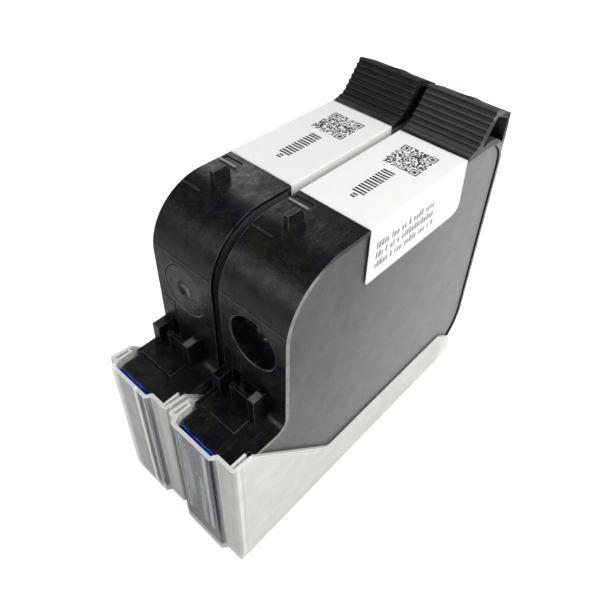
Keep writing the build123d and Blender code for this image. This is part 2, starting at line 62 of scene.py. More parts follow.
SIDES = ("left", "right")
SEED = 4

# Places on a frame that are painted pale as highlights, millimetres: the lip on its top and the tall lug's
# top.
# X is measured from the cartridge's middle plane.
LIP_X = (-9.0, -3.6)
LIP_Y = (-11.1, -10.35)
LUG_X = (2.1, 3.8)
LUG_Y = (-34.2, -31.6)
LUG_Z = (44.3, 46.0)

# Dimple in the port plug's face, millimetres.
DIMPLE_R = 2.4

# Cap, millimetres behind the foremost face of its pocket.
WINDOW_DEPTH = 1.05
FRONT_DEPTH = 2.4
GREY_LINES = ((1.75, 2.15), (3.5, 3.8))
PALE_LINE = (2.4, 3.1)

# Label sheet and its print, millimetres.
PAPER = 0.12
PAPER_FOLD_R = 0.3
PAPER_CORNER_R = 3.0
FLAP_SLANT = 0.8
INK_THICK = 0.015
CODE_MODULES = 29
CODE_SIDE = 9.4
BAR_HEIGHT = 3.2
BAR_COUNT = 7
BAR_STEP = 1.95
BAR_STROKE = 0.5

# Seal tape. The tab ends short of the tape's foot and is trimmed narrower than the tape.
TAPE_THICK = 0.1
TAPE_CREASE = 0.4
TAB_SHORT = 1.6
TAB_TRIM = {"left": 2.7, "right": 1.9}
# The tab's trimmed edge is painted: a pale highlight on the right tab, a dark blue shade on the left tab.
TAB_EDGE_LIGHT_AND_SHADE = {"left": (0.020, 0.036, 0.12), "right": (0.84, 0.87, 0.90)}

# Ink bag films and bow spring. A film is staked flat along its rim, is slack over the next stretch inward,
# and stands a little proud over the plate.
FILM_THICK = 0.06
FILM_STAKE = 1.6
FILM_SLACK = 6.0
FILM_CROWN = 0.3
LEAF = 0.3


def millimetre_box(node):
    low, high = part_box(node)
    return low / MM, high / MM


frame_low, frame_high = millimetre_box("right_frame")
label_high = millimetre_box("right_label")[1]
PITCH = frame_low.x + frame_high.x
BODY_HALF = (frame_high.x - frame_low.x) / 2
BODY_TOP = label_high.z
HANDLE_START = label_high.y


# ---------------------------------------------------------------- materials

class Graph:
    """A material's node tree, built by short calls. Sizes are in millimetres."""

    def __init__(self, name):
        self.material = bpy.data.materials.new(name)
        self.material.use_nodes = True
        self.tree = self.material.node_tree
        self.tree.nodes.clear()
        self.object_space = self.add("TexCoord").outputs["Object"]

    def add(self, kind, settings=None, **inputs):
        node = self.tree.nodes.new("ShaderNode" + kind)
        for key, value in (settings or {}).items():
            setattr(node, key, value)
        for key, value in inputs.items():
            self.feed(node.inputs[key.replace("_", " ")], value)
        return node

    def feed(self, socket, value):
        if isinstance(value, bpy.types.NodeSocket):
            self.tree.links.new(value, socket)
        elif socket.type == "RGBA":
            socket.default_value = (*value[:3], 1.0)
        else:
            socket.default_value = value

    def math(self, operation, a, b=0.0):
        node = self.add("Math", {"operation": operation})
        self.feed(node.inputs[0], a)
        self.feed(node.inputs[1], b)
        return node.outputs[0]

    def blend(self, factor, a, b):
        node = self.add("Mix", {"data_type": "RGBA"})
        self.feed(node.inputs[0], factor)
        self.feed(node.inputs[6], a)
        self.feed(node.inputs[7], b)
        return node.outputs[2]

    def ramp(self, value, low, high, to_low=0.0, to_high=1.0):
        node = self.add("MapRange", {"clamp": True})
        for socket, number in zip(node.inputs, (value, low, high, to_low, to_high)):
            self.feed(socket, number)
        return node.outputs[0]

    def space(self, stretch=(1, 1, 1), turn=(0, 0, 0), shift=(0, 0, 0)):
        node = self.add("Mapping", Vector=self.object_space, Scale=stretch)
        node.inputs["Rotation"].default_value = [radians(a) for a in turn]
        node.inputs["Location"].default_value = [s * MM for s in shift]
        return node.outputs[0]

    def noise(self, size, detail=3.0, rough=0.55, **place):
        node = self.add("TexNoise", Vector=self.space(**place), Scale=1 / (size * MM))
        node.inputs["Detail"].default_value = detail
        node.inputs["Roughness"].default_value = rough
        return node.outputs[0]

    def cells(self, size, feature="F1", **place):
        node = self.add("TexVoronoi", {"feature": feature}, Vector=self.space(**place))
        node.inputs["Scale"].default_value = 1 / (size * MM)
        return node.outputs["Distance"]

    def waves(self, size, axis, distortion=0.0, **place):
        settings = {"wave_type": "BANDS", "bands_direction": axis}
        node = self.add("TexWave", settings, Vector=self.space(**place), Scale=pi / 10 / (size * MM))
        node.inputs["Distortion"].default_value = distortion
        return node.outputs["Fac"]

    def axis(self, index):
        """Position along X, Y or Z, in millimetres."""
        split = self.add("SeparateXYZ", Vector=self.object_space)
        return self.math("MULTIPLY", split.outputs[index], 1 / MM)

    def outward(self):
        """Distance outward from the middle plane of the nearer cartridge, in millimetres."""
        return self.math("SUBTRACT", self.math("ABSOLUTE", self.axis(0)), PITCH / 2)

    def local_x(self):
        """Position along X measured from the middle plane of the nearer cartridge."""
        middle = self.math("MULTIPLY", self.math("SIGN", self.axis(0)), PITCH / 2)
        return self.math("SUBTRACT", self.axis(0), middle)

    def facing(self, index):
        """How far the surface faces along X, Y or Z, from -1 to 1."""
        return self.add("SeparateXYZ", Vector=self.add("NewGeometry").outputs["Normal"]).outputs[index]

    def inside(self, value, low, high, soft=0.1):
        """1 while the value lies between two limits."""
        above = self.ramp(value, low - soft, low + soft)
        return self.math("MULTIPLY", above, self.ramp(value, high + soft, high - soft))

    def edges(self, radius, only_outer=False):
        """1 along edges that are sharper than the radius, 0 elsewhere; inner corners can be left out."""
        soft = self.add("Bevel", {"samples": 6}, Radius=radius * MM)
        sharp = self.add("NewGeometry")
        dot = self.add("VectorMath", {"operation": "DOT_PRODUCT"})
        self.feed(dot.inputs[0], soft.outputs[0])
        self.feed(dot.inputs[1], sharp.outputs["Normal"])
        found = self.ramp(dot.outputs["Value"], 0.995, 0.86)
        if only_outer:
            openness = self.add("AmbientOcclusion", {"samples": 4}, Distance=3 * radius * MM).outputs["AO"]
            found = self.math("MULTIPLY", found, self.ramp(openness, 0.70, 0.88))
        return found

    def bump(self, height, depth, under=None):
        node = self.add("Bump", Height=height, Distance=depth * MM, Strength=1.0)
        if under is not None:
            self.feed(node.inputs["Normal"], under)
        return node.outputs[0]

    def plastic(self, **inputs):
        return self.add("BsdfPrincipled", **inputs).outputs[0]

    def finish(self, shader):
        output = self.add("OutputMaterial")
        self.tree.links.new(shader, output.inputs[0])
        return self.material


def scratches(g, thin, turn, shift, share):
    """Short straight hairlines, 0 to 1."""
    lines = g.noise(thin, 0.0, stretch=(1.0, 0.03, 1.0), turn=turn, shift=shift)
    where = g.ramp(g.noise(3.5, 1.0, shift=shift), 0.62 - share, 0.70 - share)
    return g.math("MULTIPLY", g.ramp(lines, 0.735, 0.80), where)


def black_plastic(name, tone=1.0, gloss=0.0, highlight_strength=0.0, dimple_highlight_r=0.0):
    """Glass-filled black plastic: cloudy olive and navy casts, handling smudges, hairlines, dust.

    Outer edges are paler, partly as edge wear and partly as a painted highlight. On the handle, ridge tops
    are painted paler as highlights, more on the right cartridge, and hollows are kept near black as painted
    shade.
    The places that the frame highlight function lists are painted pale grey as highlights. A piece given a
    dimple radius gets a painted highlight on the lower left of the dimple at its middle."""
    g = Graph(name)
    y = g.axis(1)
    on_handle = g.ramp(y, HANDLE_START, HANDLE_START + 1)
    cast = g.ramp(g.noise(8.0, 2.0, shift=(3, 11, 7)), 0.40, 0.60)
    olive = [c * tone for c in (0.0044, 0.0053, 0.0032)]
    navy = [c * tone for c in (0.0020, 0.0024, 0.0056)]
    color = g.blend(cast, olive, navy)
    clouds = g.noise(2.4, 5.0, 0.65)
    color = g.blend(g.ramp(clouds, 0.47, 0.75, 0.0, 0.8), color, [c * tone for c in (0.014, 0.0155, 0.0115)])
    fibres = g.noise(0.45, 2.0, stretch=(1.0, 0.3, 0.6), turn=(12, 0, 24))
    color = g.blend(g.ramp(fibres, 0.60, 0.80, 0.0, 0.5), color, [c * tone for c in (0.020, 0.022, 0.020)])
    on_top = scratches(g, 0.16, (0, 0, 72), (5, 0, 2), 0.06)
    on_face = scratches(g, 0.14, (48, 20, 0), (1, 9, 4), 0.10)
    hair = g.math("MAXIMUM", on_top, on_face)
    color = g.blend(g.math("MULTIPLY", hair, 0.4), color, (0.10, 0.105, 0.10))
    dust = g.ramp(g.cells(1.15), 0.085, 0.045, 0.0, 0.55)
    scarce = g.ramp(g.noise(1.3, 0.0, shift=(9, 4, 1)), 0.60, 0.66)
    color = g.blend(g.math("MULTIPLY", dust, scarce), color, (0.20, 0.21, 0.20))
    # Outer edges paler: partly edge wear, partly a painted highlight where sharp edges would catch the light;
    # none on the handle.
    worn = g.math("MULTIPLY", g.edges(0.25, True), g.ramp(g.noise(1.6, 2.0), 0.35, 0.6, 0.35, 1.0))
    worn = g.math("MULTIPLY", worn, g.ramp(on_handle, 0.0, 1.0, 0.9, 0.0))
    color = g.blend(worn, color, (0.13, 0.135, 0.13))
    # Painted light and shade on the handle's ridges: open ridge tops are painted paler and the valleys stay
    # dark as painted shade; the right cartridge's handle is painted brighter than the left's, and faces that
    # look along X are left out.
    openness = g.add("AmbientOcclusion", {"samples": 6}, Distance=0.9 * MM).outputs["AO"]
    ridges = g.ramp(openness, 0.62, 0.95, 0.0, 1.0)
    painted_ridge_light = g.math("MULTIPLY", ridges, g.ramp(g.axis(0), -3.0, 3.0, 0.25, 1.0))
    painted_ridge_light = g.math("MULTIPLY", painted_ridge_light, g.ramp(g.math("ABSOLUTE", g.facing(0)), 0.7, 0.5))
    color = g.blend(g.math("MULTIPLY", on_handle, painted_ridge_light), color, (0.040, 0.047, 0.040))
    # Painted highlight: a pale crescent in the plug's dimple.
    if dimple_highlight_r:
        color = g.blend(painted_dimple_highlight(g, dimple_highlight_r), color, (0.16, 0.17, 0.15))
    # Painted highlights on the frame's outer flanks, port mouth, lip and tall lug.
    color = g.blend(frame_painted_highlights(g, on_handle, highlight_strength), color, (0.20, 0.21, 0.195))
    # Painted shade: hollows in the handle are darkened to near black and given less shine.
    far_openness = g.add("AmbientOcclusion", {"samples": 6}, Distance=5 * MM).outputs["AO"]
    painted_hollow_shade = g.math("MULTIPLY", g.ramp(far_openness, 0.78, 0.48), on_handle)
    color = g.blend(painted_hollow_shade, color, (0.001, 0.001, 0.0015))
    rough = g.ramp(g.noise(3.3, 5.0, 0.7, shift=(1, 2, 3)), 0.3, 0.72, 0.24 - gloss, 0.50 - gloss)
    rough = g.math("ADD", rough, g.math("MULTIPLY", on_handle, 0.16))
    grain = g.bump(g.noise(0.18, 2.0), 0.010)
    grain = g.bump(g.noise(3.0, 3.0, shift=(6, 6, 6)), 0.12, grain)
    shine = g.ramp(painted_hollow_shade, 0.0, 1.0, 0.34, 0.06)
    return g.finish(g.plastic(Base_Color=color, Roughness=rough, Normal=grain, Specular_IOR_Level=shine))


def plug_radius(g):
    """Distance from the axis of the port and its plug, and that distance's parts across and up."""
    plug_low, plug_high = millimetre_box("right_port_plug")
    x = g.local_x()
    up = g.math("SUBTRACT", g.axis(2), (plug_low.z + plug_high.z) / 2)
    return g.math("SQRT", g.math("ADD", g.math("MULTIPLY", x, x), g.math("MULTIPLY", up, up))), x, up


def painted_dimple_highlight(g, radius):
    """A soft painted highlight: a crescent on the lower left half of a round dimple, where its wall faces the
    light.
    """
    away, x, up = plug_radius(g)
    low_left = g.math("MULTIPLY", g.math("ADD", x, up), -0.7)
    crescent = g.math("MULTIPLY", g.inside(low_left, 0.3, 1.25, 0.3), g.ramp(away, radius, radius - 0.7))
    return g.math("MULTIPLY", crescent, 0.8)


def frame_painted_highlights(g, on_handle, strength):
    """Where a frame is painted pale as highlights: outer flanks, port mouth, the lip on its top, the tall
    lug's top.
    """
    x, y, z = g.local_x(), g.axis(1), g.axis(2)
    handle_end = g.ramp(z, BODY_TOP + 1.0, BODY_TOP + 2.5, 0.35, 0.06)
    thin_line = g.math("MULTIPLY", g.edges(0.3, True), 0.7)
    top_block = g.ramp(z, frame_high.z - 2.4, frame_high.z - 1.9, 0.0, 0.55)
    handle_end = g.math("MAXIMUM", handle_end, g.math("MAXIMUM", thin_line, top_block))
    handle_end = g.math("MULTIPLY", on_handle, handle_end)
    flank = g.ramp(g.outward(), BODY_HALF - 0.14, BODY_HALF - 0.04)
    below_top = g.ramp(z, BODY_TOP - 1.0, BODY_TOP - 2.6)
    flank = g.math("MULTIPLY", flank, g.math("MAXIMUM", below_top, handle_end))
    plug_low, plug_high = millimetre_box("right_port_plug")
    plug_r = (plug_high.x - plug_low.x) / 2
    mouth = g.inside(plug_radius(g)[0], plug_r + 0.28, plug_r + 0.42, 0.06)
    mouth = g.math("MULTIPLY", mouth, g.ramp(y, -25.0, -29.0))
    mouth = g.math("MULTIPLY", mouth, g.ramp(g.noise(5.0, 1.0), 0.4, 0.6, 0.15, 1.0))
    lip = g.math("MULTIPLY", g.inside(x, *LIP_X), g.inside(y, *LIP_Y))
    lip = g.math("MULTIPLY", lip, g.ramp(z, BODY_TOP - 0.15, BODY_TOP + 0.05))
    lug = g.math("MULTIPLY", g.inside(x, *LUG_X, 0.2), g.inside(y, *LUG_Y, 0.3))
    lug = g.math("MULTIPLY", lug, g.inside(z, *LUG_Z))
    patchy = g.ramp(g.noise(2.0, 3.0, shift=(2, 2, 8)), 0.3, 0.6, 0.65, 1.0)
    spots = g.math("MAXIMUM", g.math("MAXIMUM", mouth, lip), g.math("MULTIPLY", lug, 0.7))
    return g.math("MULTIPLY", g.math("MULTIPLY", g.math("MAXIMUM", flank, spots), patchy), strength)


def cover_plastic():
    """Fine matte dark grey of the side covers, with specks, pits and dust. A painted sheen makes it paler at
    a glance;
    painted light makes it paler towards the rear, and painted shade darker at the front and along the
    outline."""
    g = Graph("cover_matte_grey")
    # Painted sheen: paler where the surface is seen at a glance.
    glance = g.add("LayerWeight", Blend=0.5).outputs["Facing"]
    painted_sheen = g.blend(g.ramp(glance, 0.57, 0.74), (0.046, 0.051, 0.049), (0.168, 0.177, 0.166))
    color = g.blend(g.ramp(g.noise(16.0, 2.0), 0.35, 0.65, 0.0, 0.2), painted_sheen, (0.15, 0.16, 0.15))
    # Painted light towards the rear, painted shade towards the front.
    color = g.blend(g.ramp(g.axis(1), 5.0, 42.0, 0.0, 0.42), color, (0.20, 0.21, 0.195))
    color = g.blend(g.ramp(g.axis(1), 6.0, -22.0, 0.0, 0.35), color, (0.045, 0.050, 0.047))
    # Painted shadow: a thin dark line along the outline, where the frame's rim shades the recessed cover.
    color = g.blend(g.math("MULTIPLY", g.edges(0.3), 0.85), color, (0.010, 0.011, 0.010))
    speck = g.ramp(g.noise(0.22, 1.0), 0.60, 0.72, 0.0, 0.30)
    color = g.blend(speck, color, (0.24, 0.25, 0.24))
    pits = g.ramp(g.noise(0.30, 1.0, shift=(3, 8, 1)), 0.62, 0.74, 0.0, 0.25)
    color = g.blend(pits, color, (0.03, 0.033, 0.03))
    dust = g.ramp(g.cells(1.9, shift=(2, 5, 1)), 0.055, 0.030)
    scarce = g.ramp(g.noise(2.1, 0.0, shift=(7, 3, 9)), 0.60, 0.66)
    color = g.blend(g.math("MULTIPLY", dust, scarce), color, (0.62, 0.63, 0.60))
    rough = g.ramp(g.noise(5.0, 3.0), 0.35, 0.7, 0.40, 0.52)
    grain = g.bump(g.noise(0.14, 2.0), 0.010)
    return g.finish(g.plastic(Base_Color=color, Roughness=rough, Normal=grain))


def inked_plastic():
    """Plug wetted by ink: near black, glossy, with purple and green stains."""
    g = Graph("plug_inked")
    stain = g.noise(1.6, 4.0, 0.6)
    color = g.blend(g.ramp(stain, 0.35, 0.5), (0.003, 0.007, 0.004), (0.004, 0.004, 0.006))
    color = g.blend(g.ramp(stain, 0.52, 0.66), color, (0.016, 0.004, 0.022))
    rough = g.ramp(g.noise(0.9, 3.0), 0.3, 0.7, 0.10, 0.30)
    wet = g.bump(g.noise(0.9, 2.0, shift=(1, 1, 1)), 0.10)
    return g.finish(g.plastic(Base_Color=color, Roughness=rough, Normal=wet))


def liner_plastic():
    """Natural grey liner of the ink chamber, faintly stained by ink."""
    g = Graph("liner_plastic")
    stain = g.ramp(g.noise(6.0, 3.0), 0.42, 0.66)
    color = g.blend(stain, (0.12, 0.12, 0.125), (0.03, 0.025, 0.045))
    rough = g.ramp(g.noise(2.0, 3.0), 0.3, 0.7, 0.35, 0.6)
    grain = g.bump(g.noise(0.3, 2.0), 0.008)
    return g.finish(g.plastic(Base_Color=color, Roughness=rough, Normal=grain))


def label_paper(name, tone):
    """Satin white label stock, with a faint fibre mottle and slightly soiled patches."""
    g = Graph(name)
    mottle = g.noise(0.35, 3.0)
    color = g.blend(mottle, [c * tone for c in (0.80, 0.805, 0.785)], [c * tone for c in (0.86, 0.86, 0.84)])
    soiled = g.ramp(g.noise(6.0, 3.0, shift=(4, 1, 2)), 0.55, 0.8, 0.0, 0.25)
    color = g.blend(soiled, color, [c * tone for c in (0.72, 0.71, 0.68)])
    rough = g.ramp(g.noise(1.2, 2.0), 0.3, 0.7, 0.38, 0.5)
    grain = g.bump(g.noise(0.2, 2.0), 0.004)
    return g.finish(g.plastic(Base_Color=color, Roughness=rough, Normal=grain))


def label_ink(name, tone, patch):
    """Printed ink: dense with small worn specks."""
    g = Graph(name)
    worn = g.ramp(g.noise(0.18, 2.0), 0.62, 0.72, 0.0, patch)
    color = g.blend(worn, tone, (0.75, 0.75, 0.74))
    rough = g.ramp(g.noise(0.3, 2.0), 0.3, 0.7, 0.35, 0.55)
    return g.finish(g.plastic(Base_Color=color, Roughness=rough))


def blue_film(side):
    """Blue seal tape: folds over the snout painted dark and bright as their shade and light, and a hanging
    tab grey in painted streaks of the cap window's reflection, with painted highlights and shade at its
    edges.
    """
    g = Graph(f"seal_tape_{side}")
    low, high = millimetre_box(f"{side}_nozzle_tape")
    x, y, z = (g.axis(i) for i in range(3))
    # Painted light and shade of the folds: the blue runs from near black to bright in bands.
    folds = g.ramp(g.noise(0.42, 2.0, stretch=(0.10, 1, 0.25)), 0.42, 0.58)
    sheet = g.blend(folds, (0.0025, 0.005, 0.045), (0.028, 0.060, 0.40))
    under = g.ramp(z, high.z - 1.2, high.z - 2.0)
    sheet = g.blend(under, sheet, (0.028, 0.055, 0.26))
    # Painted highlight: a pale blue line along the right edge of the sheet below the loop.
    edge_highlight = g.math("MULTIPLY", under, g.ramp(x, high.x - 0.5, high.x - 0.35))
    sheet = g.blend(edge_highlight, sheet, (0.60, 0.66, 0.90))
    # Painted reflection: the tab's pale grey streaks stand for the cap window's reflection over the dark blue
    # tape; it is bluer towards the top.
    streaks = g.noise(2.2, 0.5, 0.5, stretch=(1, 1, 0.07), turn=(0, 3, 0))
    tab = g.blend(g.ramp(streaks, 0.54, 0.66), (0.036, 0.044, 0.066), (0.46, 0.50, 0.51))
    high_up = g.ramp(z, low.z + 20.0, high.z, 0.0, 0.5)
    tab = g.blend(high_up, tab, (0.035, 0.042, 0.10))
    tab_edge = high.x - TAB_TRIM[side]
    # Painted light and shade at the tab's trimmed edge.
    tab = g.blend(g.ramp(x, tab_edge - 1.15, tab_edge - 0.95), tab, TAB_EDGE_LIGHT_AND_SHADE[side])
    # Painted highlight: a pale blue line along the tab's left edge.
    tab = g.blend(g.ramp(x, low.x + 0.9, low.x + 0.7), tab, (0.62, 0.66, 0.86))
    on_tab = g.ramp(y, low.y + 0.9, low.y + 0.6)
    below_loop = g.ramp(z, high.z - 1.0, high.z - 2.0)
    color = g.blend(g.math("MULTIPLY", on_tab, below_loop), sheet, tab)
    rough = g.ramp(g.noise(0.8, 2.0), 0.3, 0.7, 0.16, 0.34)
    grain = g.bump(g.noise(1.2, 1.0, stretch=(1, 1, 0.3)), 0.02)
    solid = g.plastic(Base_Color=color, Roughness=rough, Normal=grain, Specular_IOR_Level=0.25)
    through = g.add("BsdfTranslucent", Color=(0.05, 0.12, 0.75)).outputs[0]
    return g.finish(mix_shaders(g, 0.12, solid, through))


def mix_shaders(g, factor, a, b):
    node = g.add("MixShader")
    g.feed(node.inputs[0], factor)
    g.feed(node.inputs[1], a)
    g.feed(node.inputs[2], b)
    return node.outputs[0]


def clear_plastic():
    """Cap plastic: milky side walls with fine upright lines, clearer front walls, clear windows, and rims and
    top faces painted pale as highlights.

    Upright pale bands on the left cap's window stand for light mirrored in it."""
    g = Graph("cap_frosted_clear")
    x, y, z = g.local_x(), g.axis(1), g.axis(2)
    depth = g.math("SUBTRACT", y, millimetre_box("left_cap")[0].y)
    front = g.ramp(depth, FRONT_DEPTH + 0.2, FRONT_DEPTH - 0.2)
    pocket = g.ramp(depth, WINDOW_DEPTH + 0.1, WINDOW_DEPTH - 0.1)
    on_left = g.ramp(g.axis(0), 1.0, -1.0)
    glare = g.math("MULTIPLY", on_left, g.ramp(x, 2.0, 1.6))
    facing_up = g.facing(2)
    top_face_highlight = g.math("MULTIPLY", g.ramp(facing_up, 0.75, 0.95), g.ramp(z, 8.0, 12.0))
    flow = g.ramp(g.noise(5.0, 3.0), 0.3, 0.7, -0.05, 0.05)
    drawn = g.ramp(g.noise(2.6, 1.0, stretch=(1, 1, 0.04)), 0.35, 0.65, -0.06, 0.06)
    haze = g.math("ADD", 0.74, flow)
    haze = g.math("SUBTRACT", haze, g.math("MULTIPLY", front, 0.12))
    haze = g.math("SUBTRACT", haze, g.math("MULTIPLY", pocket, g.ramp(glare, 0.0, 1.0, 0.66, 0.20)))
    solid_front = g.math("SUBTRACT", front, g.math("MULTIPLY", pocket, 0.7))
    haze = g.math("ADD", haze, g.math("MULTIPLY", solid_front, drawn))
    low_down = g.math("MULTIPLY", front, g.ramp(z, 3.2, 1.6, 0.0, 0.75))
    haze = g.math("MAXIMUM", haze, low_down)
    bands = g.math("MAXIMUM", g.inside(x, 0.6, 1.6, 0.2), g.inside(x, 3.75, 4.6, 0.15))
    bands = g.math("MULTIPLY", g.math("MAXIMUM", bands, g.ramp(x, -4.8, -6.6)), 0.4)
    bands = g.math("MULTIPLY", g.math("MULTIPLY", bands, pocket), on_left)
    haze = g.math("ADD", haze, bands)
    # Painted highlight: rim edges and top faces high on the cap are made hazier and paler.
    rim = g.edges(0.35, True)
    pale = g.math("MAXIMUM", rim, g.math("MULTIPLY", top_face_highlight, 0.75))
    haze = g.math("MAXIMUM", haze, g.math("MULTIPLY", pale, 0.85))
    milk = g.blend(g.noise(2.0, 3.0), (0.54, 0.545, 0.52), (0.61, 0.615, 0.59))
    milk = g.blend(g.ramp(y, 36.0, 43.0, 0.0, 0.9), milk, (0.80, 0.80, 0.78))
    milk = g.blend(g.math("MULTIPLY", bands, 2.0), milk, (0.84, 0.85, 0.86))
    grey_lines = g.math("MAXIMUM", *(g.inside(depth, *line) for line in GREY_LINES))
    grey_lines = g.math("MULTIPLY", grey_lines, g.ramp(z, 2.0, 4.0, 0.0, 0.8))
    milk = g.blend(g.math("MULTIPLY", grey_lines, g.ramp(facing_up, 0.3, 0.1)), milk, (0.42, 0.42, 0.40))
    pale_line = g.math("MULTIPLY", g.inside(depth, *PALE_LINE), g.ramp(facing_up, 0.3, 0.1, 0.0, 0.35))
    milk = g.blend(pale_line, milk, (0.8, 0.8, 0.78))
    milk = g.blend(g.math("MULTIPLY", pale, 0.8), milk, (0.86, 0.86, 0.84))
    grain = g.bump(g.noise(0.4, 2.0), 0.006)
    frost = g.plastic(Base_Color=milk, Roughness=0.35, Normal=grain)
    rough = g.ramp(front, 0.0, 1.0, 0.20, 0.02)
    glass = g.plastic(Base_Color=(0.95, 0.96, 0.955), Roughness=rough, IOR=1.2, Transmission_Weight=1.0)
    clear = g.add("BsdfTransparent", Color=(0.88, 0.89, 0.88)).outputs[0]
    shadow_ray = g.add("LightPath").outputs["Is Shadow Ray"]
    seen = mix_shaders(g, haze, glass, frost)
    return g.finish(mix_shaders(g, g.math("MULTIPLY", shadow_ray, 0.8), seen, clear))


def metal(name, color, rough, streak=(1, 1, 1), tint=None):
    """Bare or plated metal with drawn streaks and small stains."""
    g = Graph(name)
    lines = g.noise(0.25, 3.0, stretch=streak)
    shade = g.blend(lines, [c * 0.8 for c in color], color)
    if tint:
        shade = g.blend(g.ramp(g.noise(3.0, 3.0), 0.5, 0.75, 0.0, 0.5), shade, tint)
    roughness = g.ramp(lines, 0.3, 0.7, rough - 0.07, rough + 0.1)
    grain = g.bump(lines, 0.004)
    return g.finish(g.plastic(Base_Color=shade, Roughness=roughness, Metallic=1.0, Normal=grain))


def bag_film():
    """Crinkled clear film of the ink bag over dark ink."""
    g = Graph("bag_film")
    creases = g.cells(4.5, "DISTANCE_TO_EDGE")
    color = g.blend(g.ramp(creases, 0.0, 0.25), (0.20, 0.20, 0.24), (0.05, 0.05, 0.075))
    grain = g.bump(g.ramp(creases, 0.0, 0.35), 0.25)
    rough = g.ramp(g.noise(1.0, 2.0), 0.3, 0.7, 0.12, 0.3)
    return g.finish(g.plastic(Base_Color=color, Roughness=rough, Normal=grain, Coat_Weight=0.6))


def woven_steel():
    """Square-woven filter screen."""
    g = Graph("filter_weave")
    weave = g.math("MULTIPLY", g.waves(0.12, "X"), g.waves(0.12, "Y"))
    color = g.blend(weave, (0.10, 0.10, 0.105), (0.55, 0.55, 0.56))
    return g.finish(g.plastic(Base_Color=color, Roughness=0.35, Metallic=0.9, Normal=g.bump(weave, 0.05)))


def printhead_silicon():
    """Polished dark silicon with a violet sheen and fine circuit rows."""
    g = Graph("printhead_silicon")
    rows = g.ramp(g.waves(0.42, "Z"), 0.8, 0.9)
    color = g.blend(rows, (0.045, 0.04, 0.075), (0.16, 0.13, 0.20))
    rough = g.ramp(g.noise(0.8, 2.0), 0.3, 0.7, 0.08, 0.2)
    return g.finish(g.plastic(Base_Color=color, Roughness=rough, Metallic=0.5, Coat_Weight=0.5))


def nozzle_foil():
    """Gold-plated nozzle foil, its two nozzle rows as fine dots."""
    g = Graph("nozzle_foil")
    tarnish = g.ramp(g.noise(1.5, 3.0), 0.4, 0.7, 0.0, 0.6)
    color = g.blend(tarnish, (0.83, 0.66, 0.34), (0.52, 0.38, 0.18))
    across = g.ramp(g.waves(2.6, "X"), 0.9985, 0.9995)
    dots = g.math("MULTIPLY", across, g.ramp(g.waves(0.17, "Z"), 0.55, 0.8))
    color = g.blend(dots, color, (0.01, 0.01, 0.01))
    rough = g.ramp(g.noise(0.6, 2.0), 0.3, 0.7, 0.18, 0.32)
    return g.finish(g.plastic(Base_Color=color, Roughness=rough, Metallic=1.0, Normal=g.bump(dots, -0.01)))


def polyimide():
    """Amber flex circuit with copper runs showing through the film."""
    g = Graph("flex_polyimide")
    runs = g.ramp(g.waves(0.72, "X", 0.6), 0.45, 0.6)
    color = g.blend(runs, (0.30, 0.10, 0.012), (0.50, 0.24, 0.06))
    color = g.blend(g.ramp(g.noise(2.0, 3.0), 0.45, 0.7, 0.0, 0.4), color, (0.24, 0.09, 0.015))
    grain = g.bump(runs, 0.02)
    rough = g.ramp(g.noise(0.9, 2.0), 0.3, 0.7, 0.18, 0.35)
    return g.finish(g.plastic(Base_Color=color, Roughness=rough, Normal=grain, Coat_Weight=0.4))


def encapsulant():
    """Glossy dark epoxy bead, slightly uneven."""
    g = Graph("epoxy_bead")
    color = g.blend(g.noise(1.2, 2.0), (0.012, 0.013, 0.018), (0.03, 0.032, 0.036))
    rough = g.ramp(g.noise(0.7, 2.0), 0.3, 0.7, 0.10, 0.25)
    return g.finish(g.plastic(Base_Color=color, Roughness=rough, Normal=g.bump(g.noise(0.9, 1.0), 0.08)))


def floor_material():
    """Plain pale paper. Glossy surfaces mirror it darker than it is, and a little glow keeps it white to the
    camera, so shadows on it are faint."""
    g = Graph("floor_white")
    color = g.blend(g.noise(40.0, 2.0), (0.93, 0.93, 0.93), (0.95, 0.95, 0.95))
    rays = g.add("LightPath")
    color = g.blend(rays.outputs["Is Glossy Ray"], color, (0.60, 0.61, 0.60))
    glow = g.math("MULTIPLY", rays.outputs["Is Camera Ray"], 0.42)
    return g.finish(g.plastic(
        Base_Color=color, Roughness=0.7, Specular_IOR_Level=0.2,
        Emission_Color=(1.0, 1.0, 1.0), Emission_Strength=glow))


# ------------------------------------------------------- finishes on CAD nodes

FRAME_BLACK = black_plastic("frame_black", highlight_strength=0.9)
INKED = inked_plastic()
PLUG_BLACK = black_plastic("plug_black", 2.3, 0.04, dimple_highlight_r=DIMPLE_R)
# Both labels are the same paper; the left one's lower tone is painted shade.
PAPER_FINISH = {
    "left": label_paper("label_paper_left_shaded", 0.73),
    "right": label_paper("label_paper_right", 0.77),
}
TAPE_FINISH = {side: blue_film(side) for side in SIDES}
CAD_FINISH = {
    "frame": FRAME_BLACK,
    "inner_frame": liner_plastic(),
    "side_cover_a": cover_plastic(),
    "bag_film_a": bag_film(),
    "pressure_plate_a": metal("plate_stainless", (0.62, 0.62, 0.61), 0.3, (1, 0.1, 1)),
    "bow_spring": metal("spring_steel", (0.46, 0.46, 0.47), 0.28, (1, 1, 0.1), (0.30, 0.24, 0.16)),
    "filter_screen": woven_steel(),
    "port_plug": PLUG_BLACK,
    "fill_ball": metal("ball_steel", (0.68, 0.68, 0.69), 0.12),
    "printhead_die": printhead_silicon(),
    "nozzle_plate": nozzle_foil(),
    "encapsulant_beads": encapsulant(),
    "flex_circuit": polyimide(),
    "contact_pads": metal("pad_gold", (0.86, 0.63, 0.24), 0.25, (1, 0.15, 1), (0.50, 0.33, 0.12)),
    "label": PAPER_FINISH["right"],
    "nozzle_tape": TAPE_FINISH["right"],
    "cap": clear_plastic(),
}
